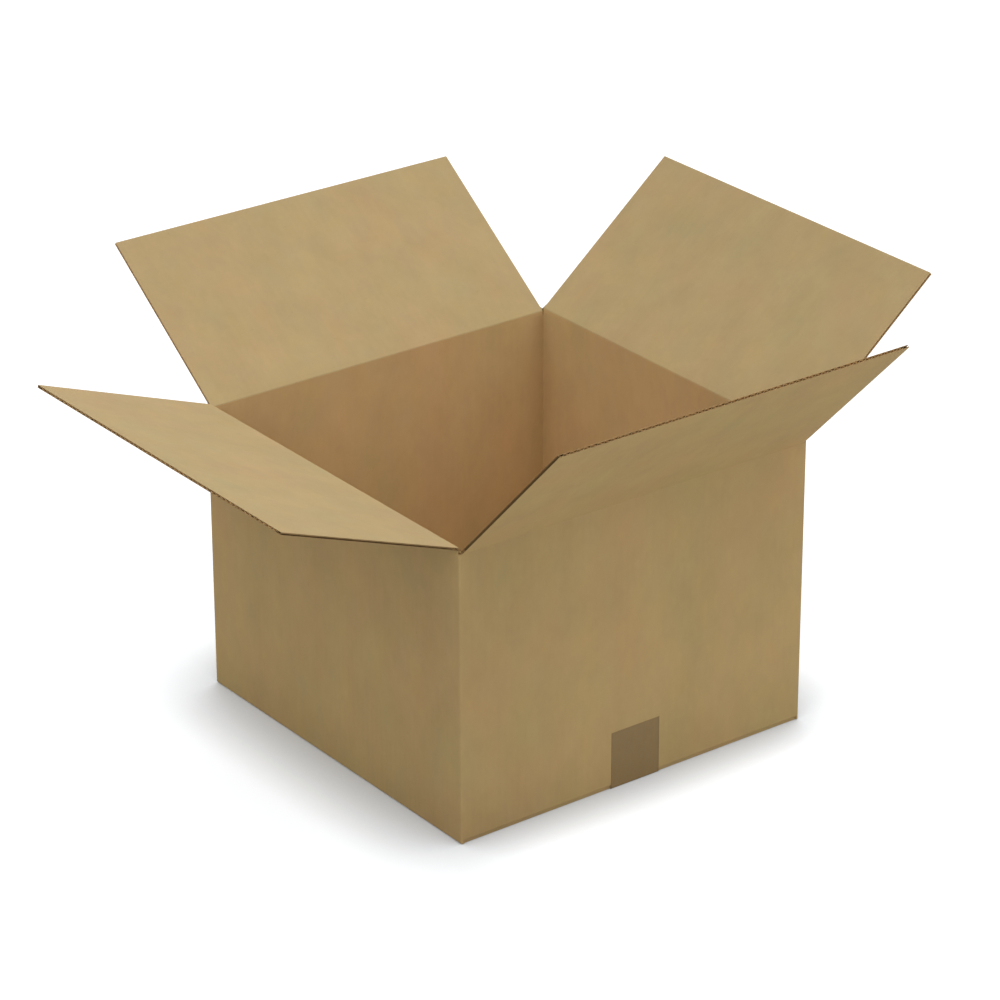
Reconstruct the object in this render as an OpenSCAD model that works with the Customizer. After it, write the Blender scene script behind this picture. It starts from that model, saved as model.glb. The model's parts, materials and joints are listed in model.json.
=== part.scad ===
// Open corrugated carton, folded from one sheet: a square base, four walls, two layers of
// taped bottom flaps and four top flaps that stand open.
// Millimetres, +Z up. The origin is the middle of the underside, on the floor. X runs along
// the bottom seam and its tape, and the outer flaps are on the front and back walls, -Y and +Y.

/* [Box] */
// Clear length inside, along X
inner_l = 350; // [280:1:600]
// Clear width inside, along Y
inner_w = 350; // [280:1:600]
// Clear height from the bottom flaps to the closed top flaps
inner_h = 250; // [180:1:500]
// Outside radius of the four upright folds
corner_r = 2; // [0.6:0.1:2]
// Outside radius of the folds along the bottom
fold_r = 1.6; // [0.4:0.1:1.8]

/* [Board] */
// Thickness of the corrugated board
board_t = 2.5; // [2.4:0.1:4]
// Thickness of each facing sheet
liner_t = 0.35; // [0.2:0.05:0.6]
// Thickness of the fluted sheet between the facings
medium_t = 0.3; // [0.2:0.05:0.5]
// Distance from one flute to the next
flute_pitch = 6.5; // [5:0.1:9]
// Width of the flat crown where a flute meets a facing
flute_crown = 1.2; // [0.6:0.1:1.6]
// Depth to which the mouths of the flutes are open at a cut edge
mouth_depth = 4; // [1:0.5:12]
// Depth of the groove between the facings along an edge cut beside a flute
groove_depth = 1.2; // [0.4:0.1:3]

/* [Top flaps] */
// Gap left between two opposite flaps when they are closed
flap_gap = 6; // [1:0.5:20]
// Gap from a flap's side edge to the wall beside it
side_gap = 0.5; // [0.15:0.05:2]
// Gap between two flaps that lie on each other
layer_gap = 0.15; // [0.15:0.05:1]
// Room on each side of a top crease, measured up the wall
crease_gap = 0.15; // [0.1:0.05:0.6]
// How far the corner slots are cut past the crease of the flaps
slot_past = 0.5; // [0:0.1:4]
// Outward lean of the front flap from upright, in degrees
lean_front = 69.7; // [0:0.1:120]
// Outward lean of the back flap from upright, in degrees
lean_back = 50.3; // [0:0.1:120]
// Outward lean of the left flap from upright, in degrees
lean_left = 54.1; // [0:0.1:120]
// Outward lean of the right flap from upright, in degrees
lean_right = 44; // [0:0.1:120]

/* [Bottom] */
// Gap left between two opposite bottom flaps
seam_gap = 3; // [1:0.5:12]
// Distance from the walls' outside to the side edges of the outer bottom flaps
bottom_setback = 1.5; // [1.5:0.1:2.4]

/* [Glue joint] */
// Width of the tab that is glued inside the front wall
tab_w = 35; // [20:1:60]
// Distance from the tab's root to the flaps above and below it
tab_clear = 4; // [2:0.5:20]
// Slope of the tab's ends, in degrees
tab_taper = 15; // [0:1:40]
// Distance from the left wall's outside to the front wall's cut end
raw_end = 0.4; // [0:0.1:1.5]

/* [Tape] */
// Width of the sealing tape
tape_w = 50; // [24:1:75]
// Thickness of the sealing tape
tape_t = 0.15; // [0.1:0.05:0.5]
// Height to which the tape runs up the end walls
tape_h = 52; // [15:1:90]
// Outside radius of the tape's bend under the end walls
tape_r = 1.2; // [0.6:0.1:1.5]

/* [Hidden] */
$fn = 48;

kraft = [0.66, 0.57, 0.41];
kraft_inside = [0.72, 0.62, 0.45];
tape_brown = [0.47, 0.39, 0.27];

outer_l = inner_l + 2 * board_t;
outer_w = inner_w + 2 * board_t;

// Levels, from the floor up
outer_bottom_z = tape_t;
inner_bottom_z = outer_bottom_z + board_t + layer_gap;
floor_z = inner_bottom_z + board_t;
closed_z = floor_z + inner_h;
inner_crease_z = closed_z + board_t;
outer_crease_z = inner_crease_z + layer_gap + board_t;
slot_top_z = inner_crease_z - slot_past;
slot_bottom_z = outer_bottom_z + slot_past;

// Outer flaps reach half the box's width, and inner flaps are no longer than half of either side
outer_flap_len = (outer_w - flap_gap) / 2;
inner_flap_len = (min(outer_l, outer_w) - flap_gap) / 2;
outer_bottom_len = (outer_w - seam_gap) / 2;
inner_bottom_len = (min(outer_l, outer_w) - seam_gap) / 2;
outer_flap_w = inner_l - 2 * side_gap;
inner_flap_w = inner_w - 2 * side_gap;

// Each side is reached by a turn about the upright axis
FRONT = 0;
RIGHT = 90;
BACK = 180;
LEFT = 270;

// How far a cut reaches past the solid that it cuts
past = 1;

// Carries a wall's own frame to its side: x along the wall, y inwards from its outside, z up
module on_side(side, z) {
    reach = (side == FRONT || side == BACK) ? outer_w / 2 : outer_l / 2;
    rotate([0, 0, side]) translate([0, -reach, z]) children();
}

// Extrudes a section drawn in y and z along the wall, about its middle
module along_wall(span) {
    rotate([90, 0, 90]) linear_extrude(span, center = true) children();
}

// What lies outside a quarter circle in the corner of a square
module fillet_cut(r) {
    difference() {
        translate([-past, -past]) square(r + past);
        translate([r, r]) circle(r = r);
    }
}

// Plan of the four walls. Three corners are folds, and the fourth is the glue joint, where the
// left wall folds inwards behind the front wall's cut end.
module wall_plan() {
    difference() {
        square([outer_l, outer_w], center = true);
        square([inner_l, inner_w], center = true);
        translate([outer_l / 2, -outer_w / 2]) rotate(RIGHT) fillet_cut(corner_r);
        translate([outer_l / 2, outer_w / 2]) rotate(BACK) fillet_cut(corner_r);
        translate([-outer_l / 2, outer_w / 2]) rotate(LEFT) fillet_cut(corner_r);
        translate([-outer_l / 2, -outer_w / 2 + board_t]) rotate(FRONT) difference() {
            square(corner_r);
            translate([corner_r, corner_r]) circle(r = corner_r);
        }
        translate([-outer_l / 2 - past, -outer_w / 2 - past]) square([raw_end + past, board_t + past]);
    }
}

// Everything above a wall's crease, down to the 45 degree face that the flap closes on
module above_crease(span) {
    above = outer_crease_z - inner_crease_z + past;
    along_wall(span) polygon([
        [-past, past - crease_gap],
        [-past, above],
        [board_t + past, above],
        [board_t + past, -board_t - past - crease_gap]
    ]);
}

// The corners between two flaps are slotted down to just past the creases, above and below
module corner_slots() {
    for (x = [-1, 1], y = [-1, 1]) {
        corner = [x * (inner_l + board_t + past) / 2, y * (inner_w + board_t + past) / 2];
        size = [board_t + past, board_t + past];
        translate([0, 0, slot_top_z]) linear_extrude(outer_crease_z)
            translate(corner) square(size, center = true);
        translate([0, 0, slot_bottom_z - outer_crease_z]) linear_extrude(outer_crease_z)
            translate(corner) square(size, center = true);
    }
}

module walls() {
    difference() {
        translate([0, 0, outer_bottom_z]) linear_extrude(outer_crease_z - outer_bottom_z) wall_plan();
        for (side = [FRONT, BACK]) on_side(side, outer_crease_z) above_crease(inner_l);
        for (side = [LEFT, RIGHT]) {
            on_side(side, inner_crease_z) above_crease(inner_w);
            // The end walls stop one board higher, where the inner bottom flaps fold in
            on_side(side, inner_bottom_z) translate([-inner_w / 2, -past, -inner_bottom_z])
                cube([inner_w, board_t + past, inner_bottom_z]);
        }
        corner_slots();
    }
}

// A bottom flap lies flat, from the outside of its wall to the seam in the middle
module bottom_flap(width, length) {
    translate([-width / 2, 0, 0]) cube([width, length, board_t]);
}

module bottom_flaps() {
    for (side = [FRONT, BACK]) on_side(side, outer_bottom_z)
        bottom_flap(outer_l - 2 * bottom_setback, outer_bottom_len);
    for (side = [LEFT, RIGHT]) on_side(side, inner_bottom_z)
        bottom_flap(inner_flap_w, inner_bottom_len);
}

module bottom_folds() {
    for (side = [FRONT, BACK]) on_side(side, outer_bottom_z)
        along_wall(outer_l + 2 * past) fillet_cut(fold_r);
    for (side = [LEFT, RIGHT]) on_side(side, inner_bottom_z)
        along_wall(inner_w) difference() {
            translate([-past, 0]) square([fold_r + past, fold_r]);
            translate([fold_r, fold_r]) circle(r = fold_r);
        }
}

// The left wall's tab, tapered at both ends and glued flat to the inside of the front wall
module glue_tab() {
    root_x = -inner_l / 2 - board_t / 2;
    end_x = -inner_l / 2 + tab_w;
    slope = tab_w * tan(tab_taper);
    translate([0, -inner_w / 2 + board_t, 0]) rotate([90, 0, 0]) linear_extrude(board_t) polygon([
        [root_x, floor_z + tab_clear],
        [-inner_l / 2, floor_z + tab_clear],
        [end_x, floor_z + tab_clear + slope],
        [end_x, closed_z - tab_clear - slope],
        [-inner_l / 2, closed_z - tab_clear],
        [root_x, closed_z - tab_clear]
    ]);
}

module carton_body() {
    color(kraft) difference() {
        union() {
            walls();
            bottom_flaps();
            glue_tab();
        }
        bottom_folds();
    }
}

// The mouth of one flute: the space between the fluted sheet and the facing that it opens on
module flute_mouth() {
    base = flute_pitch - flute_crown - 2 * medium_t;
    far = board_t - liner_t - medium_t;
    polygon([[-base / 2, liner_t], [base / 2, liner_t], [flute_crown / 2, far], [-flute_crown / 2, far]]);
}

// The row of mouths along a cut edge, turned up and down by turns about the board's mid-plane
module flute_mouths(width) {
    count = floor((width - 2 * groove_depth) / flute_pitch);
    for (i = [0 : count - 1]) translate([(i - (count - 1) / 2) * flute_pitch, 0]) flute_mouth();
    for (i = [1 : count - 1]) translate([(i - count / 2) * flute_pitch, board_t])
        mirror([0, 1]) flute_mouth();
}

// A top flap standing straight up from its crease. Its root is crushed to a 45 degree face on
// the inside, so that it turns about the outside edge of its wall.
module top_flap(width, length) {
    difference() {
        along_wall(width) polygon([
            [0, crease_gap],
            [0, length],
            [board_t, length],
            [board_t, board_t + crease_gap]
        ]);
        for (end = [-1, 1]) translate([end * width / 2, board_t / 2, length / 2])
            cube([2 * groove_depth, board_t - 2 * liner_t, length + 2 * past], center = true);
        translate([0, 0, length - mouth_depth]) linear_extrude(mouth_depth + past) flute_mouths(width);
    }
}

module outer_flap_front() {
    color(kraft_inside) on_side(FRONT, outer_crease_z)
        rotate([lean_front, 0, 0]) top_flap(outer_flap_w, outer_flap_len);
}

module outer_flap_back() {
    color(kraft_inside) on_side(BACK, outer_crease_z)
        rotate([lean_back, 0, 0]) top_flap(outer_flap_w, outer_flap_len);
}

module inner_flap_left() {
    color(kraft_inside) on_side(LEFT, inner_crease_z)
        rotate([lean_left, 0, 0]) top_flap(inner_flap_w, inner_flap_len);
}

module inner_flap_right() {
    color(kraft_inside) on_side(RIGHT, inner_crease_z)
        rotate([lean_right, 0, 0]) top_flap(inner_flap_w, inner_flap_len);
}

// Section of a strip's lower side that bends up at both ends, filled to above its top
module bent_section(half, z, r) {
    rise = tape_h + past;
    translate([-half, z + r]) square([2 * half, rise]);
    translate([-half + r, z]) square([2 * (half - r), rise]);
    for (x = [-half + r, half - r]) translate([x, z + r]) circle(r = r);
}

// One strip of tape along the bottom seam and up the middle of both end walls
module sealing_tape() {
    color(tape_brown) rotate([90, 0, 0]) linear_extrude(tape_w, center = true) difference() {
        bent_section(outer_l / 2 + tape_t, 0, tape_r);
        bent_section(outer_l / 2, tape_t, tape_r - tape_t);
        translate([-outer_l, tape_h]) square([2 * outer_l, tape_h]);
    }
}

carton_body();
outer_flap_front();
outer_flap_back();
inner_flap_left();
inner_flap_right();
sealing_tape();
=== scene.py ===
"""Looks of the open corrugated carton: kraft board and tape finishes, top flaps with a real
fluted sheet inside, folded creases, a plain pale studio and the camera. Metres, +Z up."""

import json
import logging
import math
from dataclasses import dataclass, field
from enum import Enum, IntEnum

import bmesh
import bpy
from mathutils import Matrix, Vector, noise

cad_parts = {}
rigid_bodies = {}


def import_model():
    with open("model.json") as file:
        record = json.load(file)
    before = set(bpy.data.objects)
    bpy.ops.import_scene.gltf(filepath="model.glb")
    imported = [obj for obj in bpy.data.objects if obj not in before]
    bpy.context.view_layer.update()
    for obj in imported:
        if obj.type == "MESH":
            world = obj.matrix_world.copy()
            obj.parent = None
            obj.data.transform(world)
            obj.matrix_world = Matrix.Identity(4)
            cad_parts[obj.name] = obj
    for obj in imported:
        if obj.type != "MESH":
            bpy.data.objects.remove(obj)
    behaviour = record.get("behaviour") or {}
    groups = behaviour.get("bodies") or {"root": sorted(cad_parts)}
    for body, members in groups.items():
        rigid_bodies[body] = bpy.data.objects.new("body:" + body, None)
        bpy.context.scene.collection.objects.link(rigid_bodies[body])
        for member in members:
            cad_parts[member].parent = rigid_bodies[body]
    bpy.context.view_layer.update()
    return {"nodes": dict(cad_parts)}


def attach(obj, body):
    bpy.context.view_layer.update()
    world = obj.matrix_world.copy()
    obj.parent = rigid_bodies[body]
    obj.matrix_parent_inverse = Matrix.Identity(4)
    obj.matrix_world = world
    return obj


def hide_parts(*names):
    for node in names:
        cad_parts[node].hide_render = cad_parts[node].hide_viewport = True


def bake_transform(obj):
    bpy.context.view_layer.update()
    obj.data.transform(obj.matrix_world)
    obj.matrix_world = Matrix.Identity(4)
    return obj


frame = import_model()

log = logging.getLogger("carton")

MM = 0.001
MERGE_DISTANCE = 0.001 * MM

Colour = tuple[float, float, float]
Source = bpy.types.NodeSocket | float | tuple[float, ...]
Sockets = dict[str, bpy.types.NodeSocket]


# Places and sizes that the pieces share


class Side(Enum):
    """A side of the carton, by the turn in degrees that carries the front to it."""

    FRONT = 0
    RIGHT = 90
    BACK = 180
    LEFT = 270

    def frame(self, reach: float, height: float) -> Matrix:
        """A wall's own frame: x along the wall, y inwards from its outside, z up.

        Args:
            reach: distance from the middle of the carton to the wall's outside.
            height: level at which the frame's origin lies.

        Returns:
            The matrix from the wall's frame to the row frame.
        """
        turn = Matrix.Rotation(math.radians(self.value), 4, "Z")
        return turn @ Matrix.Translation((0, -reach, height))


@dataclass(frozen=True)
class Board:
    """Single-wall corrugated board: two facing sheets, the liners, with a fluted sheet glued between.

    crown is the width of the flat top of a flute, where the fluted sheet is glued to a liner.
    """

    thickness: float = 2.5 * MM
    liner: float = 0.35 * MM
    medium: float = 0.3 * MM
    pitch: float = 6.5 * MM
    crown: float = 1.2 * MM
    closed_gap: float = 0.003 * MM

    def medium_faces(self, across: float) -> tuple[float, float]:
        """Where the fluted sheet runs at one place across the flutes.

        Args:
            across: distance from the crown of a flute, across the flutes.

        Returns:
            The heights of the fluted sheet's two faces above the board's outside. A face that lies
            nearer to its liner than closed_gap touches it.
        """
        middle = self.thickness / 2
        swing = middle - self.liner - self.medium / 2
        sharpness = 1 / math.cos(math.pi * self.crown / self.pitch)
        turn = 2 * math.pi * across / self.pitch
        wave = sharpness * math.cos(turn)
        slope = 0.0 if abs(wave) >= 1 else sharpness * math.sin(turn)
        slope *= swing * 2 * math.pi / self.pitch
        centre = middle + swing * max(-1.0, min(1.0, wave))
        half = self.medium / 2 * math.hypot(1, slope)
        floor, ceiling = self.liner, self.thickness - self.liner
        low = floor if centre - half < floor + self.closed_gap else centre - half
        high = ceiling if centre + half > ceiling - self.closed_gap else centre + half
        return low, high


@dataclass(frozen=True)
class CartonSizes:
    """Outside sizes and levels of the carton, as the CAD model has them.

    crease_width alone is the scene's own: how long a crease is, with its tails in the corners.
    """

    half: float = 177.5 * MM
    inner_crease: float = 257.8 * MM
    outer_crease: float = 260.45 * MM
    flap_width: float = 349 * MM
    flap_length: float = 174.5 * MM
    crease_width: float = 353.6 * MM
    corner_radius: float = 2 * MM
    crease_gap: float = 0.15 * MM

    @property
    def crease_tail(self) -> float:
        """How far a crease runs past its flap's width at each side."""
        return (self.crease_width - self.flap_width) / 2


BOARD = Board()
CARTON = CartonSizes()


# Shader nodes

# A Mix node has one set of sockets for each data type. These are the places of its colour sockets.
MIX_COLOURS = (6, 7)
MIX_RESULT = 2


class Graph:
    """A shader node tree that is being wired, with short calls for its commonest nodes."""

    def __init__(self, tree: bpy.types.NodeTree) -> None:
        """Wires nodes into tree."""
        self.tree = tree

    def node(self, kind: str, **settings: object) -> bpy.types.Node:
        """Adds a node.

        Args:
            kind: the node's type name, without its Shader Node prefix.
            settings: properties of the node.

        Returns:
            The new node.
        """
        made = self.tree.nodes.new("ShaderNode" + kind)
        for name, value in settings.items():
            setattr(made, name, value)
        return made

    def feed(self, socket: bpy.types.NodeSocket, value: Source) -> None:
        """Links value to an input socket where it is an output, and else sets it there.

        Args:
            socket: the input socket.
            value: another node's output, or a plain value.
        """
        if isinstance(value, bpy.types.NodeSocket):
            self.tree.links.new(value, socket)
        else:
            socket.default_value = value

    def math(self, operation: str, *values: Source, clamp: bool = False) -> bpy.types.NodeSocket:
        """Adds a Math node.

        Args:
            operation: the node's operation.
            values: what feeds its inputs, in their order.
            clamp: whether the result is kept between 0 and 1.

        Returns:
            The node's result.
        """
        made = self.node("Math", operation=operation, use_clamp=clamp)
        for socket, value in zip(made.inputs, values):
            self.feed(socket, value)
        return made.outputs[0]

    def split(self, vector: Source) -> bpy.types.NodeOutputs:
        """Splits a vector.

        Args:
            vector: the vector.

        Returns:
            Its X, Y and Z.
        """
        made = self.node("SeparateXYZ")
        self.feed(made.inputs[0], vector)
        return made.outputs

    def scaled(self, vector: Source, scale: tuple[float, float, float]) -> bpy.types.NodeSocket:
        """Scales a vector axis by axis.

        Args:
            vector: the vector.
            scale: what each axis is multiplied by.

        Returns:
            The scaled vector.
        """
        made = self.node("VectorMath", operation="MULTIPLY")
        self.feed(made.inputs[0], vector)
        made.inputs[1].default_value = scale
        return made.outputs[0]

    def noise(self, vector: Source, scale: Source, detail: float,
              rough: float = 0.5) -> bpy.types.NodeSocket:
        """Adds a Noise Texture.

        Args:
            vector: where the noise is read.
            scale: how many of its largest patches there are to a metre.
            detail: how many finer layers it has.
            rough: how strong each layer is beside the one before it.

        Returns:
            Its value, from about 0 to 1 around 0.5.
        """
        made = self.node("TexNoise", noise_dimensions="3D")
        self.feed(made.inputs["Vector"], vector)
        self.feed(made.inputs["Scale"], scale)
        made.inputs["Detail"].default_value = detail
        made.inputs["Roughness"].default_value = rough
        return made.outputs["Fac"]

    def span(self, value: Source, low: Source, high: Source,
             to: tuple[float, float] = (0, 1)) -> bpy.types.NodeSocket:
        """Carries a value smoothly from one range onto another, and holds it at its ends.

        Args:
            value: the value.
            low: start of the range that it comes from.
            high: end of that range.
            to: start and end of the range that it goes to.

        Returns:
            The carried value.
        """
        made = self.node("MapRange", interpolation_type="SMOOTHSTEP", clamp=True)
        self.feed(made.inputs["Value"], value)
        self.feed(made.inputs["From Min"], low)
        self.feed(made.inputs["From Max"], high)
        made.inputs["To Min"].default_value, made.inputs["To Max"].default_value = to
        return made.outputs["Result"]

    def mix(self, factor: Source, first: Source, second: Source,
            blend: str = "MIX") -> bpy.types.NodeSocket:
        """Mixes two colours.

        Args:
            factor: the share of the second colour.
            first: the first colour.
            second: the second colour.
            blend: how the second is laid over the first.

        Returns:
            The mixed colour.
        """
        made = self.node("Mix", data_type="RGBA", blend_type=blend)
        self.feed(made.inputs["Factor"], factor)
        for place, colour in zip(MIX_COLOURS, (first, second)):
            self.feed(made.inputs[place], (*colour, 1.0) if isinstance(colour, tuple) else colour)
        return made.outputs[MIX_RESULT]

    def relief(self, shader: bpy.types.Node, height: Source) -> None:
        """Gives a shader a relief.

        Args:
            shader: the Principled shader.
            height: height of the relief, in metres.
        """
        bump = self.node("Bump")
        bump.inputs["Distance"].default_value = 1.0
        self.feed(bump.inputs["Height"], height)
        self.feed(shader.inputs["Normal"], bump.outputs["Normal"])


def new_finish(name: str) -> tuple[bpy.types.Material, Graph, bpy.types.Node]:
    """Starts a material.

    Args:
        name: the material's name.

    Returns:
        The material, its node tree, and the Principled shader in it.
    """
    material = bpy.data.materials.new(name)
    material.use_nodes = True
    return material, Graph(material.node_tree), material.node_tree.nodes["Principled BSDF"]


class Effect:
    """A shared surface effect: a node group with named sockets, built once."""

    name = ""
    inputs: dict[str, tuple[str, object]] = {}
    outputs: dict[str, str] = {}

    def wire(self, graph: Graph, given: Sockets) -> Sockets:
        """Wires the inside of the group.

        Args:
            graph: the group's own tree.
            given: the group's inputs by name.

        Returns:
            What each output of the group puts out, by name.
        """
        raise NotImplementedError

    def tree(self) -> bpy.types.NodeTree:
        """Finds the node group, or builds it on its first use.

        Returns:
            The node group.
        """
        found = bpy.data.node_groups.get(self.name)
        if found:
            return found
        tree = bpy.data.node_groups.new(self.name, "ShaderNodeTree")
        for label, (kind, default) in self.inputs.items():
            socket = tree.interface.new_socket(label, in_out="INPUT", socket_type="NodeSocket" + kind)
            socket.default_value = default
        for label, kind in self.outputs.items():
            tree.interface.new_socket(label, in_out="OUTPUT", socket_type="NodeSocket" + kind)
        graph = Graph(tree)
        given = graph.tree.nodes.new("NodeGroupInput").outputs
        made = self.wire(graph, {label: given[label] for label in self.inputs})
        result = graph.tree.nodes.new("NodeGroupOutput")
        for label, socket in made.items():
            graph.feed(result.inputs[label], socket)
        return tree

    def place(self, graph: Graph, **values: Source) -> bpy.types.NodeOutputs:
        """Places the group in a material.

        Args:
            graph: the material's tree.
            values: what feeds each input, by its name.

        Returns:
            The outputs of the placed group.
        """
        made = graph.node("Group")
        made.node_tree = self.tree()
        for label, value in values.items():
            graph.feed(made.inputs[label], value)
        return made.outputs


class PaperMottle(Effect):
    """Cloudy formation of kraft paper: soft patches that are lighter, darker, warmer or cooler.

    The scales of the fine cloud and of the warmth are multiples of the wide cloud's.
    """

    name = "paper mottle"
    inputs = {"Position": ("Vector", (0, 0, 0)), "Patch": ("Float", 0.03), "Grain": ("Float", 0.5)}
    outputs = {"Shade": "Float", "Warmth": "Float"}
    wide_layers, wide_rough = 3.0, 0.6
    fine_scale, fine_layers, fine_rough = 5.3, 4.0, 0.65
    warmth_scale, warmth_layers = 1.6, 2.0
    warmth_shift = (3.1, 1.7, 0.9)

    def wire(self, graph: Graph, given: Sockets) -> Sockets:
        """Wires two scales of cloud for the shade, and a third cloud for the warmth.

        Args:
            graph: the group's own tree.
            given: the group's inputs by name.

        Returns:
            The shade and the warmth, each around 0.
        """
        wide = graph.math("DIVIDE", 1.0, given["Patch"])
        cloud = graph.noise(given["Position"], wide, self.wide_layers, self.wide_rough)
        fine_scale = graph.math("MULTIPLY", wide, self.fine_scale)
        fine = graph.noise(given["Position"], fine_scale, self.fine_layers, self.fine_rough)
        grain = graph.math("MULTIPLY", graph.math("SUBTRACT", fine, 0.5), given["Grain"])
        shade = graph.math("ADD", graph.math("SUBTRACT", cloud, 0.5), grain)
        shifted = graph.node("VectorMath", operation="ADD")
        graph.feed(shifted.inputs[0], given["Position"])
        shifted.inputs[1].default_value = self.warmth_shift
        warmth_scale = graph.math("MULTIPLY", wide, self.warmth_scale)
        warm = graph.noise(shifted.outputs[0], warmth_scale, self.warmth_layers)
        return {"Shade": shade, "Warmth": graph.math("SUBTRACT", warm, 0.5)}


class FluteShow(Effect):
    """Flutes that show faintly through a facing sheet, as broken streaks along them."""

    name = "flute show-through"
    inputs = {
        "Across": ("Float", 0.0),
        "Position": ("Vector", (0, 0, 0)),
        "Pitch": ("Float", 0.0065),
    }
    outputs = {"Streak": "Float", "Relief": "Float"}
    strength_scale, strength_layers = 14.0, 2.0
    strength_from, strength_to = (0.38, 0.66), (0.15, 1.0)

    def wire(self, graph: Graph, given: Sockets) -> Sockets:
        """Wires a wave at the pitch of the flutes, strong in some places and gone in others.

        Args:
            graph: the group's own tree.
            given: the group's inputs by name.

        Returns:
            The streaks and the relief, each around 0.
        """
        turns = graph.math("DIVIDE", given["Across"], given["Pitch"])
        wave = graph.math("COSINE", graph.math("MULTIPLY", turns, 2 * math.pi))
        uneven = graph.noise(given["Position"], self.strength_scale, self.strength_layers)
        strength = graph.span(uneven, *self.strength_from, self.strength_to)
        one_each = graph.node("TexWhiteNoise", noise_dimensions="1D")
        graph.feed(one_each.inputs["W"], graph.math("ROUND", turns))
        single = graph.math("SUBTRACT", one_each.outputs["Value"], 0.5)
        both = graph.math("ADD", graph.math("MULTIPLY", wave, 0.5), single)
        streak = graph.math("MULTIPLY", both, strength)
        return {"Streak": streak, "Relief": graph.math("MULTIPLY", wave, strength)}


class PaperFibres(Effect):
    """Fibres and specks in the face of the paper, which run with the board's machine direction."""

    name = "paper fibres"
    inputs = {"Position": ("Vector", (0, 0, 0)), "Density": ("Float", 0.5)}
    outputs = {"Fibre": "Float", "Speck": "Float", "Relief": "Float"}
    fibre_stretch = (1.0, 1.0, 0.24)
    fibre_scale, fibre_layers, fibre_rough = 1500.0, 2.0, 0.6
    tooth_scale, tooth_layers = 2600.0, 1.0
    speck_stretch = (1.0, 1.0, 0.55)
    speck_scale = 210.0
    speck_rim = (0.05, 0.17)
    fibre_relief, tooth_relief = 0.7, 0.3

    def wire(self, graph: Graph, given: Sockets) -> Sockets:
        """Wires long thin noise for fibres, and sparse cells for the darker specks of bark.

        Args:
            graph: the group's own tree.
            given: the group's inputs by name.

        Returns:
            The fibres around 0, and the specks and the relief from 0 to 1.
        """
        long_way = graph.scaled(given["Position"], self.fibre_stretch)
        fibre = graph.noise(long_way, self.fibre_scale, self.fibre_layers, self.fibre_rough)
        tooth = graph.noise(given["Position"], self.tooth_scale, self.tooth_layers)
        cells = graph.node("TexVoronoi", voronoi_dimensions="3D", feature="F1")
        graph.feed(cells.inputs["Vector"], graph.scaled(given["Position"], self.speck_stretch))
        cells.inputs["Scale"].default_value = self.speck_scale
        near = graph.span(cells.outputs["Distance"], *self.speck_rim, (1.0, 0.0))
        pick = graph.node("SeparateColor")
        graph.feed(pick.inputs[0], cells.outputs["Color"])
        rare = graph.math("LESS_THAN", pick.outputs[0], given["Density"])
        relief = graph.math(
            "ADD",
            graph.math("MULTIPLY", fibre, self.fibre_relief),
            graph.math("MULTIPLY", tooth, self.tooth_relief),
        )
        return {
            "Fibre": graph.math("SUBTRACT", fibre, 0.5),
            "Speck": graph.math("MULTIPLY", near, rare),
            "Relief": relief,
        }


class FoldWear(Effect):
    """Rubbed and crushed paper in a narrow band beside a fold or a cut edge.

    The band's width goes from width_least to that and width_gain, in shares of the Width given.
    """

    name = "fold wear"
    inputs = {
        "Distance": ("Float", 0.0),
        "Position": ("Vector", (0, 0, 0)),
        "Width": ("Float", 0.002),
    }
    outputs = {"Wear": "Float"}
    ragged_scale, ragged_layers, ragged_rough = 160.0, 3.0, 0.65
    width_gain, width_least = 1.6, 0.2
    strength_from, strength_to = (0.25, 0.7), (0.35, 1.0)

    def wire(self, graph: Graph, given: Sockets) -> Sockets:
        """Wires a band that fades with the distance, broken up along its length.

        Args:
            graph: the group's own tree.
            given: the group's inputs by name.

        Returns:
            The wear, from 0 to 1.
        """
        ragged = graph.noise(given["Position"], self.ragged_scale, self.ragged_layers, self.ragged_rough)
        share = graph.math("MULTIPLY_ADD", ragged, self.width_gain, self.width_least)
        reach = graph.math("MULTIPLY", given["Width"], share)
        band = graph.span(given["Distance"], 0.0, reach, (1.0, 0.0))
        strength = graph.span(ragged, *self.strength_from, self.strength_to)
        return {"Wear": graph.math("MULTIPLY", band, strength)}


PAPER_MOTTLE = PaperMottle()
FLUTE_SHOW = FluteShow()
PAPER_FIBRES = PaperFibres()
FOLD_WEAR = FoldWear()


# Finishes


class Across(Enum):
    """Which way the flutes are counted on a piece: the axis that crosses them."""

    X = "x"
    Y = "y"
    BY_WALL = "by wall"


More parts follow.
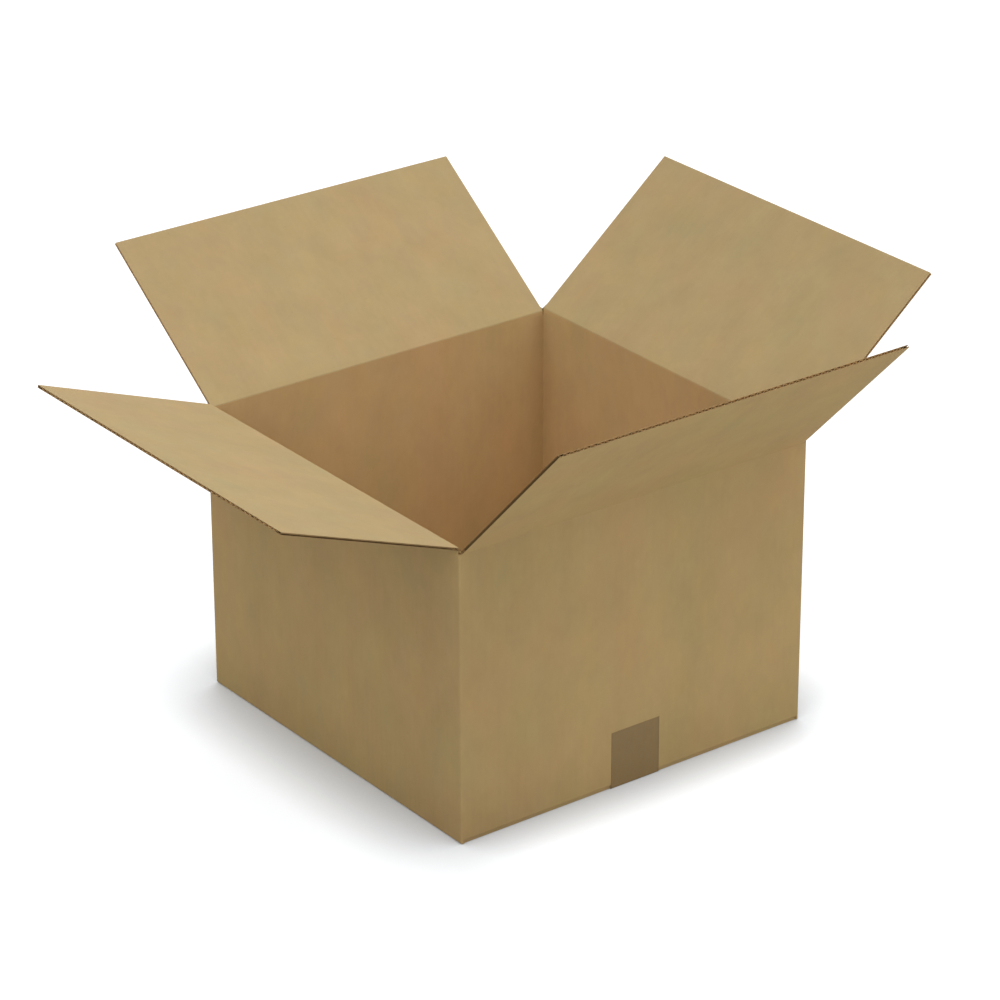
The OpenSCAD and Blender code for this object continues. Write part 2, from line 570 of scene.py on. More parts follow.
@dataclass(frozen=True)
class KraftLiner:
    """The plain kraft facing of the board, outside or inside.

    colour is the paper's own, and inside that of the faces that look into the carton, if they differ; on the
    walls it is the inner liner painted lighter, for painted light in the well.
    mottle to speck, wear and every painted shade are shares of the colour's brightness. A face looks along an
    axis where its normal reaches facing on it.
    """

    name: str
    colour: Colour
    across: Across
    inside: Colour | None = None
    drawn_out: tuple[float, float, float] = (1.0, 1.0, 0.6)
    patch: float = 38 * MM
    grain: float = 0.40
    tone_patch: float = 95 * MM
    mottle: float = 0.26
    warmth: float = 0.28
    warm_red: float = 0.25
    warm_blue: float = -0.5
    rosiness: float = 0.12
    rosy_green: float = -0.6
    streak: float = 0.012
    fibre: float = 0.06
    speck: float = 0.08
    speck_density: float = 0.16
    wear: float = 0.03
    wear_width: float = 2.2 * MM
    # painted shade in the upright corners inside
    corner_painted_shade: float = 0.08
    corner_band: float = 20 * MM
    # painted shade: darker round the front right fold and along the foot
    fold_painted_shade: float = 0.10
    fold_band: float = 150 * MM
    foot_painted_shade: float = 0.065
    foot_band: float = 55 * MM
    roughness: float = 0.86
    rough_mottle: float = 0.14
    specular: float = 0.28
    flute_relief: float = 0.012 * MM
    fibre_relief: float = 0.012 * MM
    facing: float = 0.6
    crease_below: float = 1.5 * MM

    def make(self) -> bpy.types.Material:
        """The finish as a Blender material.

        Returns:
            The material, with the Principled shader's plain values set on its own sockets.
        """
        material, graph, shader = new_finish(self.name)
        place = graph.node("TexCoord").outputs
        spot = place["Object"]
        drawn = graph.scaled(spot, self.drawn_out)
        mottle = PAPER_MOTTLE.place(graph, Position=drawn, Patch=self.patch, Grain=self.grain)
        tone = PAPER_MOTTLE.place(graph, Position=drawn, Patch=self.tone_patch)
        across = self.crossing(graph, place)
        flutes = FLUTE_SHOW.place(graph, Across=across, Position=spot, Pitch=BOARD.pitch)
        fibres = PAPER_FIBRES.place(graph, Position=spot, Density=self.speck_density)

        shade = graph.math("MULTIPLY_ADD", mottle["Shade"], self.mottle, 1.0)
        shade = graph.math("MULTIPLY_ADD", flutes["Streak"], self.streak, shade)
        shade = graph.math("MULTIPLY_ADD", fibres["Fibre"], self.fibre, shade)
        shade = graph.math("MULTIPLY_ADD", fibres["Speck"], -self.speck, shade)
        if self.wear:
            shade = self.wear_and_painted_shade(graph, spot, shade)
        warm = graph.math("MULTIPLY", mottle["Warmth"], self.warmth)
        rosy = graph.math("MULTIPLY", tone["Warmth"], self.rosiness)
        tint = graph.node("CombineColor")
        red = graph.math("ADD", graph.math("MULTIPLY_ADD", warm, self.warm_red, shade), rosy)
        graph.feed(tint.inputs[0], red)
        graph.feed(tint.inputs[1], graph.math("MULTIPLY_ADD", rosy, self.rosy_green, shade))
        graph.feed(tint.inputs[2], graph.math("MULTIPLY_ADD", warm, self.warm_blue, shade))
        colour: Source = self.colour
        if self.inside is not None:
            colour = graph.mix(self.inner_mask(graph, spot), self.colour, self.inside)
        graph.feed(shader.inputs["Base Color"], graph.mix(1.0, colour, tint.outputs[0], "MULTIPLY"))

        rough = graph.math("MULTIPLY_ADD", mottle["Shade"], self.rough_mottle, self.roughness)
        graph.feed(shader.inputs["Roughness"], rough)
        shader.inputs["Specular IOR Level"].default_value = self.specular
        height = graph.math("MULTIPLY", flutes["Relief"], self.flute_relief)
        graph.relief(shader, graph.math("MULTIPLY_ADD", fibres["Relief"], self.fibre_relief, height))
        return material

    def crossing(self, graph: Graph, place: bpy.types.NodeOutputs) -> bpy.types.NodeSocket:
        """How far a point is across the flutes.

        Args:
            graph: the material's tree.
            place: outputs of the material's Texture Coordinate node.

        Returns:
            The distance across the flutes, in metres.
        """
        x, y, _ = graph.split(place["Object"])
        if self.across is not Across.BY_WALL:
            return x if self.across is Across.X else y
        facing_x, _, facing_z = graph.split(place["Normal"])
        end_wall = graph.math("GREATER_THAN", graph.math("ABSOLUTE", facing_x), self.facing)
        floor = graph.math("GREATER_THAN", facing_z, self.facing)
        swap = graph.math("MAXIMUM", end_wall, floor)
        return graph.math("MULTIPLY_ADD", graph.math("SUBTRACT", y, x), swap, x)

    def wear_and_painted_shade(self, graph: Graph, spot: Source, shade: Source) -> bpy.types.NodeSocket:
        """Darkens the shade with wear at the folds, and with painted shade in the corners inside, round the
        front right fold and along the foot.

        Args:
            graph: the material's tree.
            spot: the place in the carton.
            shade: the paper's shade without that.

        Returns:
            The darkened shade.
        """
        folds = self.fold_distance(graph, spot)
        worn = FOLD_WEAR.place(graph, Distance=folds, Position=spot, Width=self.wear_width)["Wear"]
        shade = graph.math("MULTIPLY_ADD", worn, -self.wear, shade)
        # painted shade in the upright corners inside
        shade = graph.math("MULTIPLY_ADD", self.corner_painted_shade_mask(graph, spot), -self.corner_painted_shade, shade)
        return graph.math("SUBTRACT", shade, self.painted_shade(graph, spot))

    def fold_distance(self, graph: Graph, spot: Source) -> bpy.types.NodeSocket:
        """Distance to the nearest upright fold, bottom fold or crease of the carton.

        Args:
            graph: the material's tree.
            spot: the place in the carton.

        Returns:
            The distance, in metres.
        """
        x, y, z = graph.split(spot)
        sides = [graph.math("SUBTRACT", CARTON.half, graph.math("ABSOLUTE", axis)) for axis in (x, y)]
        upright = graph.math("ABSOLUTE", graph.math("MAXIMUM", *sides))
        crease = graph.math("SUBTRACT", z, CARTON.outer_crease - self.crease_below)
        level = graph.math("MINIMUM", z, graph.math("ABSOLUTE", crease))
        return graph.math("MINIMUM", upright, level)

    def painted_shade(self, graph: Graph, spot: Source) -> bpy.types.NodeSocket:
        """How much painted shade darkens the board: round the front right fold and along the foot.

        Args:
            graph: the material's tree.
            spot: the place in the carton.

        Returns:
            What the shade loses.
        """
        x, y, z = graph.split(spot)
        # painted shade, darker towards the front right fold and towards the foot
        from_fold = graph.math("ADD", graph.math("SUBTRACT", y, x), 2 * CARTON.half)
        fold = graph.span(from_fold, 0.0, self.fold_band, (self.fold_painted_shade, 0.0))
        return graph.math("ADD", fold, graph.span(z, 0.0, self.foot_band, (self.foot_painted_shade, 0.0)))

    def corner_painted_shade_mask(self, graph: Graph, spot: Source) -> bpy.types.NodeSocket:
        """Painted shade where the walls run into the upright corners inside.

        Args:
            graph: the material's tree.
            spot: the place in the carton.

        Returns:
            1 in the corners, fading to 0 over the width of corner_band.
        """
        x, y, _ = graph.split(spot)
        nearer = graph.math("MINIMUM", graph.math("ABSOLUTE", x), graph.math("ABSOLUTE", y))
        inside = CARTON.half - BOARD.thickness
        band = graph.span(graph.math("SUBTRACT", inside, nearer), 0.0, self.corner_band, (1.0, 0.0))
        return graph.math("MULTIPLY", band, self.inner_mask(graph, spot))

    def inner_mask(self, graph: Graph, spot: Source) -> bpy.types.NodeSocket:
        """Which faces of the walls and floor look into the carton.

        Args:
            graph: the material's tree.
            spot: the place in the carton.

        Returns:
            1 on the inside, and 0 on the outside.
        """
        x, y, z = graph.split(spot)
        limit = CARTON.half - BOARD.thickness / 2
        within = [graph.math("LESS_THAN", graph.math("ABSOLUTE", axis), limit) for axis in (x, y)]
        above = graph.math("GREATER_THAN", z, BOARD.thickness)
        return graph.math("MULTIPLY", graph.math("MULTIPLY", *within), above)


@dataclass(frozen=True)
class CutPaper:
    """Paper as it shows at a cut edge or inside a flute: rougher, and darker with dust.

    clean is the share of the surface that has its own colour, and contrast how sharply it ends.
    """

    name: str
    colour: Colour
    dark: Colour
    patch: float = 11 * MM
    grain: float = 0.8
    contrast: float = 1.6
    clean: float = 0.45
    fibre: float = 0.5
    roughness: float = 0.95
    rough_fibre: float = 0.1
    specular: float = 0.15
    fibre_relief: float = 0.05 * MM

    def make(self) -> bpy.types.Material:
        """The finish as a Blender material.

        Returns:
            The material.
        """
        material, graph, shader = new_finish(self.name)
        spot = graph.node("TexCoord").outputs["Object"]
        fibres = PAPER_FIBRES.place(graph, Position=spot)
        patches = PAPER_MOTTLE.place(graph, Position=spot, Patch=self.patch, Grain=self.grain)
        clean = graph.math("MULTIPLY_ADD", patches["Shade"], self.contrast, self.clean, clamp=True)
        colour = graph.mix(clean, self.dark, self.colour)
        shade = graph.math("MULTIPLY_ADD", fibres["Fibre"], self.fibre, 1.0)
        graph.feed(shader.inputs["Base Color"], graph.mix(1.0, colour, shade, "MULTIPLY"))
        rough = graph.math("MULTIPLY_ADD", fibres["Fibre"], self.rough_fibre, self.roughness)
        graph.feed(shader.inputs["Roughness"], rough)
        shader.inputs["Specular IOR Level"].default_value = self.specular
        graph.relief(shader, graph.math("MULTIPLY", fibres["Relief"], self.fibre_relief))
        return material


@dataclass(frozen=True)
class TapeFilm:
    """Brown packing tape: a thin glossy film over its glue, with the board faint beneath it.

    thin is its colour where the glue is thin or has lifted, and edge its colour along its rims.
    """

    name: str
    colour: Colour
    thin: Colour
    edge: Colour
    half_width: float = 25 * MM
    patch: float = 12 * MM
    grain: float = 0.6
    glue_contrast: float = 1.2
    glue_thin: float = 0.4
    line_stretch: tuple[float, float, float] = (0.05, 1.0, 0.05)
    line_noise: tuple[float, float, float] = (900.0, 3.0, 0.6)
    line_shade: float = 0.08
    bubble_noise: tuple[float, float, float] = (330.0, 3.0, 0.6)
    bubble_rim: tuple[float, float] = (0.60, 0.72)
    bubble_shade: float = 0.25
    rim_width: float = 1.2 * MM
    rim_shade: float = 0.7
    flute_shade: float = 0.03
    roughness: float = 0.38
    rough_line: float = 0.16
    rough_bubble: float = 0.12
    specular: float = 0.35
    flute_relief: float = 0.012 * MM
    line_relief: float = 0.008 * MM
    bubble_relief: float = 0.03 * MM

    def make(self) -> bpy.types.Material:
        """The finish as a Blender material.

        Returns:
            The material.
        """
        material, graph, shader = new_finish(self.name)
        spot = graph.node("TexCoord").outputs["Object"]
        across = graph.split(spot)[1]
        mottle = PAPER_MOTTLE.place(graph, Position=spot, Patch=self.patch, Grain=self.grain)
        lines = graph.noise(graph.scaled(spot, self.line_stretch), *self.line_noise)
        flutes = FLUTE_SHOW.place(graph, Across=across, Position=spot, Pitch=BOARD.pitch)
        lifted = graph.span(graph.noise(spot, *self.bubble_noise), *self.bubble_rim)
        from_rim = graph.math("SUBTRACT", self.half_width, graph.math("ABSOLUTE", across))
        rim = FOLD_WEAR.place(graph, Distance=from_rim, Position=spot, Width=self.rim_width)["Wear"]

        glue = graph.math("MULTIPLY_ADD", mottle["Shade"], self.glue_contrast, self.glue_thin, clamp=True)
        film = graph.mix(glue, self.colour, self.thin)
        film = graph.mix(graph.math("MULTIPLY", lifted, self.bubble_shade), film, self.thin)
        film = graph.mix(graph.math("MULTIPLY", rim, self.rim_shade), film, self.edge)
        shade = graph.math("MULTIPLY_ADD", graph.math("SUBTRACT", lines, 0.5), self.line_shade, 1.0)
        shade = graph.math("MULTIPLY_ADD", flutes["Streak"], self.flute_shade, shade)
        graph.feed(shader.inputs["Base Color"], graph.mix(1.0, film, shade, "MULTIPLY"))
        rough = graph.math("MULTIPLY_ADD", lines, self.rough_line, self.roughness)
        graph.feed(shader.inputs["Roughness"], graph.math("MULTIPLY_ADD", lifted, self.rough_bubble, rough))
        shader.inputs["Specular IOR Level"].default_value = self.specular

        height = graph.math("MULTIPLY", flutes["Relief"], self.flute_relief)
        height = graph.math("MULTIPLY_ADD", lines, self.line_relief, height)
        graph.relief(shader, graph.math("MULTIPLY_ADD", lifted, self.bubble_relief, height))
        return material


OUTSIDE_KRAFT: Colour = (0.450, 0.310, 0.132)
FLAP_KRAFT: Colour = (0.460, 0.312, 0.126)
INSIDE_KRAFT: Colour = (0.405, 0.294, 0.142)
# painted light: the walls' inner liner, lighter than the same liner on the flaps (INSIDE_KRAFT)
WELL_KRAFT_PAINTED_LIGHT: Colour = (0.544, 0.372, 0.177)

# the walls' inside takes the well's painted light
WALLS = KraftLiner("carton_kraft", OUTSIDE_KRAFT, Across.BY_WALL, inside=WELL_KRAFT_PAINTED_LIGHT)
# the crease's inside takes the well's painted light too
CREASE_INSIDE = KraftLiner("crease_inside", WELL_KRAFT_PAINTED_LIGHT, Across.X, wear=0.0)
CUT_EDGE = CutPaper("cut_edge_paper", (0.38, 0.245, 0.108), (0.28, 0.18, 0.078))
# painted shade: dark paper on the hollows beside shaded side edges, on side edges and on the crease tails
FLUTE_PAINTED_SHADE_PAPER = CutPaper("fluted_sheet_paper", (0.22, 0.130, 0.050), (0.145, 0.086, 0.032))
# painted light: paper lighter than the liners lines the flute hollows, lifting the shade in them
FLUTE_HOLLOW_PAINTED_LIGHT = CutPaper("flute_hollow_paper", (0.72, 0.48, 0.22), (0.54, 0.36, 0.16))
TAPE = TapeFilm("brown_packing_tape", (0.214, 0.134, 0.047), (0.240, 0.154, 0.060), (0.158, 0.094, 0.033))


# Pieces


class MeshPlan:
    """The points and faces of a piece before it is made, with the place of each face's finish."""

    def __init__(self) -> None:
        """Starts with no points and no faces."""
        self.points: list[Vector] = []
        self.faces: list[tuple[int, ...]] = []
        self.slots: list[int] = []

    def add(self, slot: int, *corners: int) -> None:
        """Adds a face.

        Args:
            slot: the place of its finish among the piece's finishes.
            corners: the numbers of its points, in order round it.
        """
        self.faces.append(corners)
        self.slots.append(slot)

    def make(self, name: str, place: Matrix, finishes: list[bpy.types.Material]) -> bpy.types.Object:
        """Makes the piece, with points that lie on one another merged.

        Args:
            name: the piece's name.
            place: the frame that the points are in.
            finishes: the piece's materials.

        Returns:
            The piece, a closed mesh that is linked to the scene.
        """
        mesh = bpy.data.meshes.new(name)
        mesh.from_pydata([place @ point for point in self.points], [], self.faces)
        mesh.polygons.foreach_set("material_index", self.slots)
        for finish in finishes:
            mesh.materials.append(finish)
        shape = bmesh.new()
        shape.from_mesh(mesh)
        bmesh.ops.remove_doubles(shape, verts=shape.verts, dist=MERGE_DISTANCE)
        bmesh.ops.recalc_face_normals(shape, faces=shape.faces)
        shape.to_mesh(mesh)
        shape.free()
        piece = bpy.data.objects.new(name, mesh)
        bpy.context.scene.collection.objects.link(piece)
        return piece


class SideEdgeShade(Enum):
    """How much painted shade the side edges of a flap have: none, dark paper in the flutes beside them, or
    dark paper all over them.
    """

    CLEAN = "clean"
    GROOVE = "groove"
    ALL = "all"


class PanelSlot(IntEnum):
    """The place of each finish among a panel's materials."""

    OUTSIDE = 0
    INSIDE = 1
    EDGE = 2
    # dark paper of painted shade
    FLUTE = 3
    # lighter paper of painted light in the hollows
    HOLLOW = 4


class CreaseSlot(IntEnum):
    """The place of each finish among a crease's materials."""

    OUTSIDE = 0
    INSIDE = 1
    # dark paper of painted shade
    FLUTE = 2
    WELL = 3


@dataclass(frozen=True)
class FlapFinishes:
    """The materials of a flap: its two faces, its cut edges, dark paper of painted shade for its flutes,
    lighter paper of painted light for its hollows, and its crease's inside with the well's painted light.
    """

    outside: bpy.types.Material
    inside: bpy.types.Material
    edge: bpy.types.Material
    flute: bpy.types.Material
    hollow: bpy.types.Material
    well: bpy.types.Material

    def of_panel(self) -> list[bpy.types.Material]:
        """The panel's materials, in the order of PanelSlot."""
        return [self.outside, self.inside, self.edge, self.flute, self.hollow]

    def of_crease(self) -> list[bpy.types.Material]:
        """The crease's materials, in the order of CreaseSlot."""
        return [self.outside, self.inside, self.flute, self.well]


# A line through the board meets six faces, two of each of its three sheets, from the outside inwards.
# SHEETS has the first face of each sheet, and LOW_HOLLOW and HIGH_HOLLOW the face below each gap.
LEVELS = 6
SHEETS = (0, 2, 4)
LOW_HOLLOW, HIGH_HOLLOW = 1, 3
TOP_LEVEL = LEVELS - 1


@dataclass
class TopFlap:
    """One top flap: its corrugated panel, and the folded crease that joins it to its wall.

    lean is its angle from upright, in degrees. crown_at is where a flute has its crown. stations are
    the distances from the free edge at which each column of the panel has points, before those at
    rim_reach, where the squeeze beside a cut edge ends, and at the root, where the flutes end. The
    squeeze and the roll of the crease are uneven by noise, at the scales given.
    """

    side: Side
    node: str
    body: str
    lean: float
    crease_level: float
    finishes: FlapFinishes
    crown_at: float
    edge_shade: SideEdgeShade
    steps_per_flute: int = 12
    stations: tuple[float, ...] = (0.0, 0.5 * MM, 1.3 * MM)
    root: float = 5 * MM
    rim_pinch: float = 0.09 * MM
    rim_reach: float = 2.6 * MM
    pinch_uneven: float = 0.8
    pinch_scale: float = 55.0
    fold_radius: float = 1.1 * MM
    fold_bite: float = 0.1 * MM
    fold_steps: int = 9
    foot_steps: int = 3
    fold_lengths: int = 120
    tail_steps: int = 4
    roll: float = 0.06 * MM
    roll_scale: float = 70.0
    roll_shift: float = 9.0
    skin: float = 0.02 * MM

    @property
    def root_station(self) -> int:
        """The place of the root among a column's stations."""
        return len(self.stations) + 1

    def wall_frame(self) -> Matrix:
        """The frame at the crease of the wall that carries the flap."""
        return self.side.frame(CARTON.half, self.crease_level)

    def flap_frame(self) -> Matrix:
        """The flap's own frame: x along the crease, y from outside to inside, z to its free edge."""
        return self.wall_frame() @ Matrix.Rotation(math.radians(self.lean), 4, "X")

    def pinch(self, along: float, from_edge: float) -> float:
        """How far the board is squeezed beside a cut edge.

        Args:
            along: a place along the edge, for the unevenness of the squeeze.
            from_edge: distance from the edge.

        Returns:
            The share of its thickness that the board keeps there.
        """
        if from_edge >= self.rim_reach:
            return 1.0
        fade = (1 - from_edge / self.rim_reach) ** 2
        spot = Vector((along * self.pinch_scale, self.side.value, 0))
        uneven = 1 + self.pinch_uneven * noise.noise(spot)
        return 1 - 2 * self.rim_pinch * uneven * fade / BOARD.thickness

    def at(self, column: int, station: int, level: int) -> int:
        """Finds a point of the panel's fluted part.

        Args:
            column: its place along the crease.
            station: its place from the free edge to the root.
            level: its place through the board.

        Returns:
            The point's number.
        """
        return (column * (self.root_station + 1) + station) * LEVELS + level

    def fluted_part(self, plan: MeshPlan, xs: list[float]) -> None:
        """Lays the part of the panel whose flutes are hollow, from its free edge to its root.

        Args:
            plan: the panel's points and faces.
            xs: the place of each column along the crease.
        """
        width, length, t = CARTON.flap_width, CARTON.flap_length, BOARD.thickness
        zs = [length - down for down in (*self.stations, self.rim_reach)] + [self.root]
        open_low, open_high = [], []
        for x in xs:
            low, high = BOARD.medium_faces(x - self.crown_at)
            open_low.append(low > BOARD.liner)
            open_high.append(high < t - BOARD.liner)
            for z in zs:
                keep = self.pinch(x, length - z) * self.pinch(z + width, width / 2 - abs(x))
                for y in (0.0, BOARD.liner, low, high, t - BOARD.liner, t):
                    plan.points.append(Vector((x, t / 2 + (y - t / 2) * keep, z)))

        at, last, count = self.at, self.root_station, len(xs) - 1
        for i in range(count):
            # painted shade: near a shaded side edge the hollows take the dark paper
            by_side = min(i, count - 1 - i) < self.steps_per_flute
            dark = by_side and self.edge_shade is not SideEdgeShade.CLEAN
            lining = PanelSlot.FLUTE if dark else PanelSlot.HOLLOW
            hollows = [LOW_HOLLOW] if open_low[i] or open_low[i + 1] else []
            hollows += [HIGH_HOLLOW] if open_high[i] or open_high[i + 1] else []
            long_faces = [(0, PanelSlot.OUTSIDE), (TOP_LEVEL, PanelSlot.INSIDE)]
            long_faces += [(level + side, lining) for level in hollows for side in (0, 1)]
            for k in range(last):
                for level, slot in long_faces:
                    plan.add(slot, at(i, k, level), at(i + 1, k, level),
                             at(i + 1, k + 1, level), at(i, k + 1, level))
            for k, slot, levels in ((0, PanelSlot.EDGE, SHEETS), (last, PanelSlot.FLUTE, hollows)):
                for level in levels:
                    plan.add(slot, at(i, k, level), at(i + 1, k, level),
                             at(i + 1, k, level + 1), at(i, k, level + 1))
        # painted shade: the whole side edge takes the dark paper
        side_edge = PanelSlot.FLUTE if self.edge_shade is SideEdgeShade.ALL else PanelSlot.EDGE
        for i in (0, count):
            for k in range(last):
                for level in SHEETS:
                    plan.add(side_edge, at(i, k, level), at(i, k, level + 1),
                             at(i, k + 1, level + 1), at(i, k + 1, level))

    def solid_root(self, plan: MeshPlan, xs: list[float]) -> None:
        """Lays the part of the panel between its root and its crease, which has no hollows.

        Args:
            plan: the panel's points and faces, with the fluted part in it.
            xs: the place of each column along the crease.
        """
        at, last, count, t = self.at, self.root_station, len(xs) - 1, BOARD.thickness
        first = len(plan.points)
        for x in xs:
            keep = self.pinch(CARTON.flap_width, CARTON.flap_width / 2 - abs(x))
            for y, z in ((0.0, CARTON.crease_gap), (t, t + CARTON.crease_gap)):
                plan.points.append(Vector((x, t / 2 + (y - t / 2) * keep, z)))
        for i in range(count):
            here = first + 2 * i
            plan.add(PanelSlot.OUTSIDE, at(i, last, 0), at(i + 1, last, 0), here + 2, here)
            plan.add(PanelSlot.INSIDE, at(i, last, TOP_LEVEL), at(i + 1, last, TOP_LEVEL), here + 3, here + 1)
            plan.add(PanelSlot.EDGE, here, here + 2, here + 3, here + 1)
        for i in (0, count):
            here = first + 2 * i
            plan.add(PanelSlot.FLUTE, *(at(i, last, level) for level in range(LEVELS)), here + 1, here)

    def panel(self) -> bpy.types.Object:
        """The corrugated panel, a closed mesh whose flutes are open at the cut edges.

        Returns:
            The panel, which replaces its CAD node.
        """
        width = CARTON.flap_width
        count = round(width / BOARD.pitch * self.steps_per_flute)
        xs = [width * (i / count - 0.5) for i in range(count + 1)]
        plan = MeshPlan()
        self.fluted_part(plan, xs)
        self.solid_root(plan, xs)
        piece = plan.make(self.node + "_panel", self.flap_frame(), self.finishes.of_panel())
        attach(piece, self.body)
        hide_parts(self.node)
        return piece

    def fold_section(self) -> list[tuple[float, float]]:
        """Section of the crease across the fold, in the wall's y and z.

        Returns:
            The points of its outline, from the wall's side over the inside to the flap's side.
        """
        lean = math.radians(self.lean)
        up = Vector((-math.sin(lean), math.cos(lean)))
        inwards = Vector((math.cos(lean), math.sin(lean)))
        inner = BOARD.thickness - self.skin
        bite = BOARD.thickness + CARTON.crease_gap + self.fold_bite
        corner = inner * math.tan(lean / 2)
        start = Vector((inner, corner - self.fold_radius))
        end = inwards * inner + up * (self.fold_radius - corner)
        tip = Vector((inner, corner))
        wall_foot, flap_foot = Vector((inner, -bite)), inwards * inner + up * bite
        outline = [Vector((self.skin, -2 * CARTON.crease_gap))]
        outline += [wall_foot.lerp(start, s / self.foot_steps) for s in range(self.foot_steps)]
        for i in range(self.fold_steps + 1):
            s = i / self.fold_steps
            outline.append(start.lerp(tip, s).lerp(tip.lerp(end, s), s))
        outline += [end.lerp(flap_foot, s / self.foot_steps) for s in range(1, self.foot_steps + 1)]
        outline.append(inwards * self.skin + up * 2 * CARTON.crease_gap)
        return [tuple(p) for p in outline]

    def crease_points(self, plan: MeshPlan, xs: list[float], section: list[tuple[float, float]]) -> None:
        """Lays one ring of points after another along the crease.

        Past the flap's width the flap's side of the section sinks away, and at the carton's corners
        its outside follows their rounding.

        Args:
            plan: the crease's points and faces.
            xs: the place of each ring along the crease.
            section: the crease's section across the fold.
        """
        radius, ring = CARTON.corner_radius, len(section)
        for x in xs:
            beyond = max(0.0, abs(x) - CARTON.flap_width / 2) / CARTON.crease_tail
            keep = 1 - beyond ** 2
            over = max(0.0, abs(x) - CARTON.half + radius)
            least = self.skin + radius - math.sqrt(radius ** 2 - over ** 2)
            spot = Vector((x * self.roll_scale, self.side.value + self.roll_shift, 0))
            roll = self.roll * keep * noise.noise(spot)
            for j, (y, z) in enumerate(section):
                swell = roll * math.sin(math.pi * j / (ring - 1)) ** 2
                if z > 0:
                    in_wall = min(max(y, least), BOARD.thickness - self.skin)
                    y, z = y * keep + in_wall * (1 - keep), z * keep
                else:
                    y = max(y, least)
                plan.points.append(Vector((x, y - swell, z - swell)))

    def crease(self) -> bpy.types.Object:
        """The crushed board of the crease, folded at the flap's lean.

        Returns:
            The crease, with its place baked into its points.
        """
        section = self.fold_section()
        ring = len(section)
        half, steps = CARTON.flap_width / 2, self.tail_steps
        tail = [half + CARTON.crease_tail * s / steps for s in range(1, steps + 1)]
        xs = [-x for x in reversed(tail)]
        xs += [half * (2 * i / self.fold_lengths - 1) for i in range(self.fold_lengths + 1)]
        xs += tail
        plan = MeshPlan()
        self.crease_points(plan, xs, section)

        last, well_end = len(xs) - 1, self.foot_steps + self.fold_steps // 2
        for i in range(last):
            in_tail = i < steps or i >= last - steps
            for j in range(ring):
                slot = CreaseSlot.WELL if j < well_end else CreaseSlot.INSIDE
                # painted shade on the crease's tails in the corners
                slot = CreaseSlot.FLUTE if in_tail else slot
                slot = CreaseSlot.OUTSIDE if j == ring - 1 else slot
                here, following = i * ring + j, i * ring + (j + 1) % ring
                plan.add(slot, here, following, following + ring, here + ring)
        for i in (0, last):
            hub = len(plan.points)
            plan.points.append(Vector((xs[i], BOARD.thickness / 2, -CARTON.crease_gap)))
            for j in range(ring):
                plan.add(CreaseSlot.OUTSIDE, hub, i * ring + j, i * ring + (j + 1) % ring)

        piece = plan.make(self.node + "_crease", self.wall_frame(), self.finishes.of_crease())
        start = self.wall_frame() @ Vector((0, BOARD.thickness, -BOARD.thickness))
        end = self.flap_frame() @ Vector((0, BOARD.thickness, BOARD.thickness))
        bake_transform(piece)
        return piece

    def build(self) -> None:
        """Builds both pieces of the flap and reports them."""
        for piece in (self.panel(), self.crease()):
            log.info("%s: %d faces", piece.name, len(piece.data.polygons))


@dataclass
class Carton:
    """The folded sheet: its body as the CAD model has it, and the four top flaps.

    leans are the flaps' angles from upright in degrees, as the CAD model has them at rest.
    """

    leans: dict[Side, float] = field(default_factory=lambda: {
        Side.FRONT: 69.7, Side.BACK: 50.3, Side.LEFT: 54.1, Side.RIGHT: 44.0,
    })
    crowns: dict[Side, float] = field(default_factory=lambda: {
        Side.FRONT: 0.0, Side.BACK: 5.88 * MM, Side.LEFT: 0.62 * MM, Side.RIGHT: 1.0 * MM,
    })
    # painted shade on the side edges of the front and right flaps
    edge_shade: dict[Side, SideEdgeShade] = field(default_factory=lambda: {
        Side.FRONT: SideEdgeShade.GROOVE, Side.BACK: SideEdgeShade.CLEAN,
        Side.LEFT: SideEdgeShade.CLEAN, Side.RIGHT: SideEdgeShade.ALL,
    })

    def dress_body(self, nodes: dict[str, bpy.types.Object]) -> None:
        """Gives the walls, bottom flaps and glue tab their finish.

        Args:
            nodes: the CAD model's nodes by name.
        """
        body = nodes["carton_body"]
        body.data.materials.clear()
        body.data.materials.append(WALLS.make())
        log.info("carton_body: dressed")

    def flaps(self) -> list[TopFlap]:
        """Plans the four top flaps, with the finishes that they share in pairs.

        Returns:
            The flaps, the two outer ones first.
        """
        edge, flute, hollow = CUT_EDGE.make(), FLUTE_PAINTED_SHADE_PAPER.make(), FLUTE_HOLLOW_PAINTED_LIGHT.make()
        well = CREASE_INSIDE.make()
        made = []
        for kind, across, level, sides in (
            ("outer", Across.X, CARTON.outer_crease, (Side.FRONT, Side.BACK)),
            ("inner", Across.Y, CARTON.inner_crease, (Side.LEFT, Side.RIGHT)),
        ):
            outside = KraftLiner(f"{kind}_flap_outside", FLAP_KRAFT, across, wear=0.0).make()
            inside = KraftLiner(f"{kind}_flap_inside", INSIDE_KRAFT, across, wear=0.0).make()
            finishes = FlapFinishes(outside, inside, edge, flute, hollow, well)
            for side in sides:
                word = side.name.lower()
                made.append(TopFlap(side, f"{kind}_flap_{word}", f"{word}_flap", self.leans[side],
                                    level, finishes, self.crowns[side], self.edge_shade[side]))
        return made

    def build(self, nodes: dict[str, bpy.types.Object]) -> None:
        """Dresses the body and builds the flaps.

        Args:
            nodes: the CAD model's nodes by name.
        """
        self.dress_body(nodes)
        for flap in self.flaps():
            flap.build()


@dataclass
class SealingTape:
    """The strip of tape along the bottom seam and up both end walls."""

    node: str = "sealing_tape"

    def build(self, nodes: dict[str, bpy.types.Object]) -> None:
        """Gives the tape its finish.

        Args:
            nodes: the CAD model's nodes by name.
        """
        strip = nodes[self.node]
        strip.data.materials.clear()
        strip.data.materials.append(TAPE.make())
        log.info("%s: dressed", self.node)


# Studio


